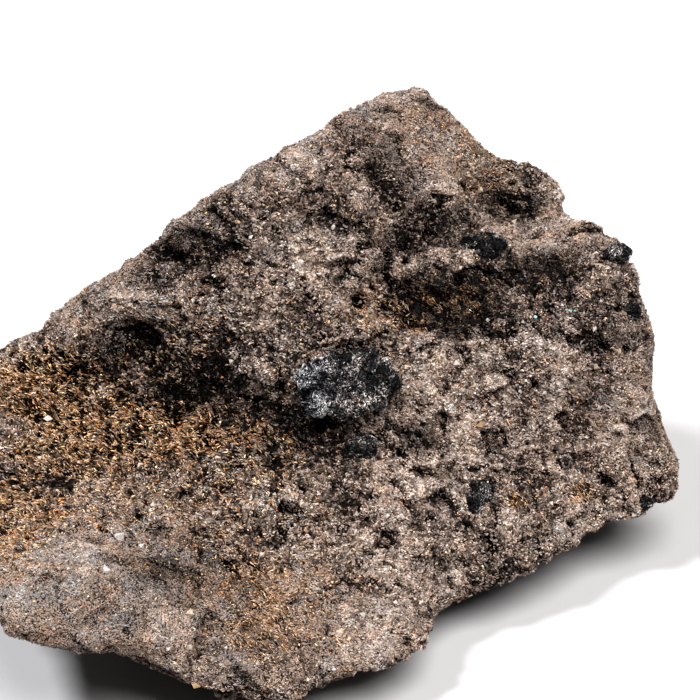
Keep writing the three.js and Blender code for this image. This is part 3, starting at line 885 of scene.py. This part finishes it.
CRYSTAL_VOXEL = 0.17
BROKEN_FROM = 8.0  # crystals smaller than this are less deeply broken
CRYSTAL_FACETS = [(2.9, 0.36, 20), (1.1, 0.24, 23)]  # broken facets: size, slope, seed
CRYSTAL_PITS = (2.0, 0.35)  # hollows in the broken end: size, depth
FLAKES_PER_MM2 = 50.0
FLAKED_WAY = (0.15, -0.75, 0.65)  # flakes lie on faces that look roughly this way
FLAKE_GRAIN_SIZE = 0.9  # the crystals' own grains, each covered by many flakes
FLAKE_LENGTH, FLAKE_LENGTH_LIMITS = 0.27, (0.1, 0.9)
FLAKE_WIDTH, FLAKE_WIDTH_LIMITS = 0.115, (0.05, 0.25)
FLAKE_TONES = np.array([
    [0.0008, 0.0008, 0.0009],
    [0.022, 0.021, 0.022],
    [0.125, 0.112, 0.108],
    [0.340, 0.298, 0.276],
    [0.680, 0.598, 0.538],
])
FLAKE_EDGES = (0.45, 0.56, 0.67, 0.80)
FLAKE_WAY = np.array([0.25, 0.3, 0.55])  # the way most flakes lie
LEFT_TINT = (-0.10, 0.0, 0.10)  # added share of each colour on the largest one's left
ORANGE, ORANGE_SHARE = (0.6, 0.24, 0.05), 0.004
FLAKE_SHINY_SHARE, FLAKE_SHINY, FLAKE_DULL = 0.3, 0.16, 0.4
MAIN_REACH = 6.8  # flakes within this of the largest crystal's middle lie on it
FACE_UP = (0.0, 0.47, 0.88)  # up the largest crystal's broken face
# Patches of the largest crystal's face: place across and up it, half sizes, how much paler.
FACE_PATCHES = [
    ((-1.1, 2.7), (1.4, 1.1), -0.9),
    ((3.4, 0.3), (1.9, 1.8), -0.8),
    ((-2.9, 0.6), (0.8, 0.9), -1.0),
    ((2.2, 3.0), (0.9, 1.0), -0.9),
    ((-4.3, 1.0), (1.5, 1.5), 0.75),
    ((-3.4, -2.2), (1.8, 1.5), 0.65),
    ((-0.5, -1.2), (1.7, 1.6), 0.4),
    ((2.0, -2.0), (1.1, 1.0), 0.35),
    ((0.9, 2.0), (0.9, 1.3), 0.4),
    ((4.4, 2.2), (1.0, 0.8), 0.25),
]
# Where the largest crystal's outline is rounded off: place across and up its face, how far
# around that place, how far up it is moved.
OUTLINE_SHIFTS = [
    ((0.2, -2.4), 2.7, -1.6),
    ((4.2, -3.1), 2.3, 1.0),
    ((-0.9, 2.6), 1.8, 0.7),
    ((3.1, 3.6), 1.8, -0.5),
    ((-5.0, 2.4), 1.9, -0.9),
]


def rounded_outline(points):
    """The largest crystal's points, moved so that its two halves make one oval."""
    away = points - HEART
    up = away @ FACE_UP
    moved = np.zeros(len(points))
    for (across_at, up_at), around, amount in OUTLINE_SHIFTS:
        reach = np.hypot(away[:, 0] - across_at, up - up_at) / around
        moved += amount * (1 - smooth_step(0.2, 1.0, reach))
    return points + moved[:, None] * FACE_UP


def build_crystal(node, material):
    """One dark crystal, broken into angular steps."""
    points, quads = remeshed(node, CRYSTAL_VOXEL)
    if node == MAIN:
        points = rounded_outline(points)
    points = smoothed(points, quads, 3)
    normals = point_normals(points, quads)
    bent = points + 0.25 * swirl(points, 1.7, SEED + 25)
    out = 0.05 * layered(points, 1.0, SEED + 21, 3, 0.6)
    for size, slope, seed in CRYSTAL_FACETS:
        out += slope * facets(bent, size, SEED + seed)
    size, deep = CRYSTAL_PITS
    out -= deep * smooth_step(0.2, 0.5, -swell(points, size, SEED + 28))
    low, high = box_mm(node)
    amount = min(1, (high - low).max() / BROKEN_FROM)
    points = points + normals * (0.02 + amount * out)[:, None]
    piece = mesh_object(node + "_crystal", points, quads, 4, material)
    add_box_map(piece.data, points, quads, normals)
    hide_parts(node)
    return points, quads


def face_tone(points):
    """How much paler (to 1) or darker (to -1) the largest crystal's face is at each point."""
    away = points - HEART
    up = away @ FACE_UP
    ragged = 0.35 * swell(points, 0.9, SEED + 37)
    total = np.zeros(len(points))
    for (across_at, up_at), (wide, tall), tone in FACE_PATCHES:
        reach = np.hypot((away[:, 0] - across_at) / wide, (up - up_at) / tall) + ragged
        total += tone * (1 - smooth_step(0.6, 1.15, reach))
    return np.clip(total, -1, 1)


def flake_colours(at, draw, shared):
    """A colour for each flake, from its place, its own random numbers, and the number that it
    shares with the others of its grain."""
    main = lengths(at - HEART) < MAIN_REACH
    patch = 0.5 + np.where(main, 0.75, 0.5) * swell(at, 2.8, SEED + 33)
    patch += np.where(main, 0.3, 0.7) * swell(at, 1.1, SEED + 34)
    pick = 0.40 * draw[:, 0] + 0.20 * shared + 0.36 * patch + 0.20 * face_tone(at)
    pick = np.clip(pick + np.where(main, 0.03, -0.06), 0, 0.999)
    colours = FLAKE_TONES[np.searchsorted(FLAKE_EDGES, pick)] * (0.6 + 0.8 * draw[:, 1:2])
    beside = at[:, 0] - HEART[0]
    left = smooth_step(-0.5, -3.0, beside) * (beside > -9)
    colours *= 1 + left[:, None] * LEFT_TINT
    return np.where(draw[:, 2:3] < ORANGE_SHARE, ORANGE, colours)


def crystal_flakes(points, quads, rng):
    """Corner points and colours of the flakes that lie on one crystal."""
    vectors = face_vectors(points, quads)
    outward = unit(vectors)
    flaked = outward @ FLAKED_WAY > 0
    count = int(FLAKES_PER_MM2 * lengths(vectors)[flaked].sum())
    at, chosen = spread_over(points, quads, count, rng, flaked)
    up = outward[chosen]
    _, _, _, marks = nearest_cells(at, FLAKE_GRAIN_SIZE, SEED + 36)
    along = 0.9 * rng.normal(0, 1, (count, 3)) + 0.6 * (marks * 2 - 1) + 0.7 * FLAKE_WAY
    along = unit(along - up * dots(along, up)[:, None] * 0.9)
    length = np.clip(rng.lognormal(math.log(FLAKE_LENGTH), 0.5, count), *FLAKE_LENGTH_LIMITS)
    width = np.clip(rng.lognormal(math.log(FLAKE_WIDTH), 0.3, count), *FLAKE_WIDTH_LIMITS)
    corners = splinters(at + up * 0.03, up, along, length, width, width * 0.7, rng)
    return corners, flake_colours(at, rng.random((count, 3)), marks[:, 1])


def build_flakes(grounds, material):
    """Small flakes that lie on the crystals' broken ends."""
    rng = np.random.default_rng(SEED + 1)
    parts = [crystal_flakes(points, quads, rng) for points, quads in grounds]
    corners = np.concatenate([part[0] for part in parts])
    colours = np.concatenate([part[1] for part in parts])
    shiny = rng.random(len(corners)) < FLAKE_SHINY_SHARE
    roughness = np.where(shiny, FLAKE_SHINY, FLAKE_DULL)
    grain_object(
        "alexandrite_flakes", corners, GRAIN_FACES, colours, roughness, material
    )


# ---- materials ----

BUMP_DISTANCE_M = 0.0002
BUMP_STRENGTH = 0.8


class Nodes:
    """Short words for building a material's nodes. Scales count features per metre."""

    def __init__(self, name):
        self.material = bpy.data.materials.new(name)
        self.material.use_nodes = True
        self.tree = self.material.node_tree
        self.shader = self.tree.nodes["Principled BSDF"]

    def add(self, kind, **settings):
        node = self.tree.nodes.new(kind)
        for key, value in settings.items():
            setattr(node, key, value)
        return node

    def link(self, source, target):
        self.tree.links.new(source, target)

    def attribute(self, name):
        """A colour stored with the mesh."""
        return self.add("ShaderNodeAttribute", attribute_name=name).outputs["Color"]

    def texture(self, kind, scale):
        """A texture that is fixed to the object."""
        node = self.add(kind)
        node.inputs["Scale"].default_value = scale
        self.link(self.add("ShaderNodeTexCoord").outputs["Object"], node.inputs["Vector"])
        return node

    def noise(self, scale, detail, roughness):
        node = self.texture("ShaderNodeTexNoise", scale)
        node.inputs["Detail"].default_value = detail
        node.inputs["Roughness"].default_value = roughness
        return node.outputs["Fac"]

    def cells(self, scale):
        """One random colour for each small cell."""
        return self.texture("ShaderNodeTexVoronoi", scale).outputs["Color"]

    def ramp(self, source, stops):
        """A colour for each value of the source. A stop's colour is three numbers, or one grey."""
        node = self.add("ShaderNodeValToRGB")
        elements = node.color_ramp.elements
        while len(elements) < len(stops):
            elements.new(0.5)
        for element, (position, colour) in zip(elements, stops):
            element.position = position
            element.color = (*(colour if len(colour) == 3 else colour * 3), 1.0)
        self.link(source, node.inputs["Fac"])
        return node.outputs["Color"]

    def mix(self, factor, first, second, blend="MIX"):
        """Two colours mixed. Each value is another node's output, a colour or a number."""
        node = self.add("ShaderNodeMix", data_type="RGBA", blend_type=blend)
        for name, value in (("Factor", factor), ("A", first), ("B", second)):
            socket = [s for s in node.inputs if s.name == name and s.enabled][0]
            if hasattr(value, "is_output"):
                self.link(value, socket)
            elif isinstance(value, tuple):
                socket.default_value = (*value, 1.0)
            else:
                socket.default_value = value
        return [s for s in node.outputs if s.enabled][0]

    def roughen(self, height):
        """Gives the surface a fine relief."""
        node = self.add("ShaderNodeBump")
        node.inputs["Distance"].default_value = BUMP_DISTANCE_M
        node.inputs["Strength"].default_value = BUMP_STRENGTH
        self.link(height, node.inputs["Height"])
        self.link(node.outputs["Normal"], self.shader.inputs["Normal"])


def schist_body_material():
    """Grains of several tones, rust in the stained ground, and painted shade that darkens the pits
    and hollows to near black.
    """
    m = Nodes("schist_ground")
    grains = m.mix(0.35, m.cells(3600.0), m.cells(7400.0))
    pick = m.mix(0.5, grains, m.attribute("bias"))
    grain = m.ramp(pick, [
        (0.34, (0.003, 0.0024, 0.002)),
        (0.46, (0.014, 0.010, 0.008)),
        (0.56, (0.07, 0.052, 0.042)),
        (0.66, (0.20, 0.150, 0.122)),
        (0.80, (0.42, 0.35, 0.30)),
    ])
    rust = m.ramp(pick, [
        (0.42, (0.002, 0.0014, 0.001)),
        (0.56, (0.008, 0.0045, 0.0025)),
        (0.66, (0.05, 0.026, 0.012)),
        (0.80, (0.26, 0.155, 0.08)),
    ])
    gaps = m.ramp(m.noise(900.0, 3.0, 0.6), [(0.44, (0.15,)), (0.54, (1.0,))])
    rust = m.mix(1.0, rust, gaps, "MULTIPLY")
    colour = m.mix(m.attribute("rust"), grain, rust)
    # Painted shade: where the shade attribute is high, the colour goes towards near black.
    shaded = m.mix(1.0, colour, (0.14, 0.12, 0.10), "MULTIPLY")
    colour = m.mix(m.attribute("shade"), colour, shaded)
    m.link(colour, m.shader.inputs["Base Color"])
    m.shader.inputs["Roughness"].default_value = 0.9
    m.shader.inputs["Specular IOR Level"].default_value = 0.0
    m.roughen(m.noise(4200.0, 4.0, 0.7))
    return m.material


def splinter_material(name):
    """Each splinter in its own colour and gloss, a little mottled."""
    m = Nodes(name)
    mottle = m.ramp(m.noise(5200.0, 3.0, 0.6), [(0.3, (0.6,)), (0.7, (1.2,))])
    m.link(m.mix(1.0, m.attribute("tone"), mottle, "MULTIPLY"), m.shader.inputs["Base Color"])
    m.link(m.attribute("gloss"), m.shader.inputs["Roughness"])
    m.shader.inputs["Specular IOR Level"].default_value = 0.1
    return m.material


def alexandrite_material():
    """Nearly black, with a few greyer specks."""
    m = Nodes("alexandrite_dark")
    colour = m.ramp(m.noise(900.0, 6.0, 0.7), [
        (0.35, (0.0004, 0.0004, 0.0007)),
        (0.6, (0.0012, 0.0014, 0.0018)),
        (0.8, (0.012, 0.014, 0.017)),
    ])
    m.link(colour, m.shader.inputs["Base Color"])
    m.shader.inputs["Roughness"].default_value = 0.5
    m.shader.inputs["Specular IOR Level"].default_value = 0.05
    m.shader.inputs["IOR"].default_value = 1.6
    m.roughen(m.noise(1600.0, 6.0, 0.75))
    return m.material


# ---- floor, light and camera ----

FLOOR_HALF_M = 6.0
FLOOR_COLOUR = (0.290, 0.286, 0.289, 1.0)
# The far lights: name, direction that they shine from, width in degrees, strength, colour.
SOFT_LIGHTS = [
    ("left", (-0.65, -0.05, 1.0), 12.0, 6.9, (0.97, 0.98, 1.0)),
    ("overhead", (0.3, -0.35, 1.0), 46.0, 8.6, (1.0, 0.985, 0.975)),
]
BACKDROP_LOOK = 0.93  # how bright the backdrop looks
BACKDROP_GLOW = 0.13  # how strongly it lights the block
LOOKED_AT = (0.19, 1.52, 3.22)  # from the largest crystal's middle
CAMERA_DISTANCE = 260.0
CAMERA_RISE_DEGREES = 28
FRAME_WIDTH = 75.0  # width of what the picture shows at that distance
SENSOR_WIDTH = 36.0
CLIP_START_M, CLIP_END_M = 0.01, 20.0


def build_floor():
    """A wide sheet of pale paper under the block."""
    mesh = bpy.data.meshes.new("floor")
    half = FLOOR_HALF_M
    corners = [(-half, -half, 0), (half, -half, 0), (half, half, 0), (-half, half, 0)]
    mesh.from_pydata(corners, [], [(0, 1, 2, 3)])
    floor = add_object("floor", mesh)
    m = Nodes("white_paper")
    m.shader.inputs["Base Color"].default_value = FLOOR_COLOUR
    m.shader.inputs["Roughness"].default_value = 0.7
    mesh.materials.append(m.material)


def soft_light(name, towards, spread, strength, colour):
    """A far light whose disc is `spread` degrees across, shining from the direction `towards`."""
    data = bpy.data.lights.new(name, "SUN")
    data.angle = math.radians(spread)
    data.energy = strength
    data.color = colour
    direction = Vector(towards).normalized()
    add_object(name, data).rotation_euler = direction.to_track_quat("Z", "Y").to_euler()


def build_lights():
    """A key light from the left, a broad one from above, and an even glow from all round."""
    for settings in SOFT_LIGHTS:
        soft_light(*settings)
    world = bpy.data.worlds.new("studio")
    bpy.context.scene.world = world
    world.use_nodes = True
    tree = world.node_tree
    background = tree.nodes["Background"]
    background.inputs["Color"].default_value = (1.0, 1.0, 1.0, 1.0)
    # The backdrop looks pale, but its glow on the block is weak.
    rays = tree.nodes.new("ShaderNodeLightPath")
    glow = tree.nodes.new("ShaderNodeMath")
    glow.operation = "MULTIPLY_ADD"
    glow.inputs[1].default_value = BACKDROP_LOOK - BACKDROP_GLOW
    glow.inputs[2].default_value = BACKDROP_GLOW
    tree.links.new(rays.outputs["Is Camera Ray"], glow.inputs[0])
    tree.links.new(glow.outputs["Value"], background.inputs["Strength"])


def build_camera():
    """Looks at the block's front from above."""
    rise = math.radians(CAMERA_RISE_DEGREES)
    data = bpy.data.cameras.new("camera")
    data.sensor_width = SENSOR_WIDTH
    data.lens = SENSOR_WIDTH * CAMERA_DISTANCE / FRAME_WIDTH
    data.clip_start = CLIP_START_M
    data.clip_end = CLIP_END_M
    camera = add_object("camera", data)
    back = Vector((0, -math.cos(rise), math.sin(rise)))
    camera.location = Vector(HEART + LOOKED_AT) * MM + back * CAMERA_DISTANCE * MM
    camera.rotation_euler = back.to_track_quat("Z", "Y").to_euler()
    bpy.context.scene.camera = camera


build_camera()
build_floor()
build_lights()
bpy.context.scene.view_settings.view_transform = "Standard"

body = build_body(schist_body_material())
build_grains(*body, splinter_material("schist_splinters"))
build_quartz(*body, splinter_material("schist_quartz"))
crystal_material = alexandrite_material()
crystal_grounds = [build_crystal(crystal, crystal_material) for crystal in CRYSTALS]
build_flakes(crystal_grounds, splinter_material("alexandrite_splinters"))
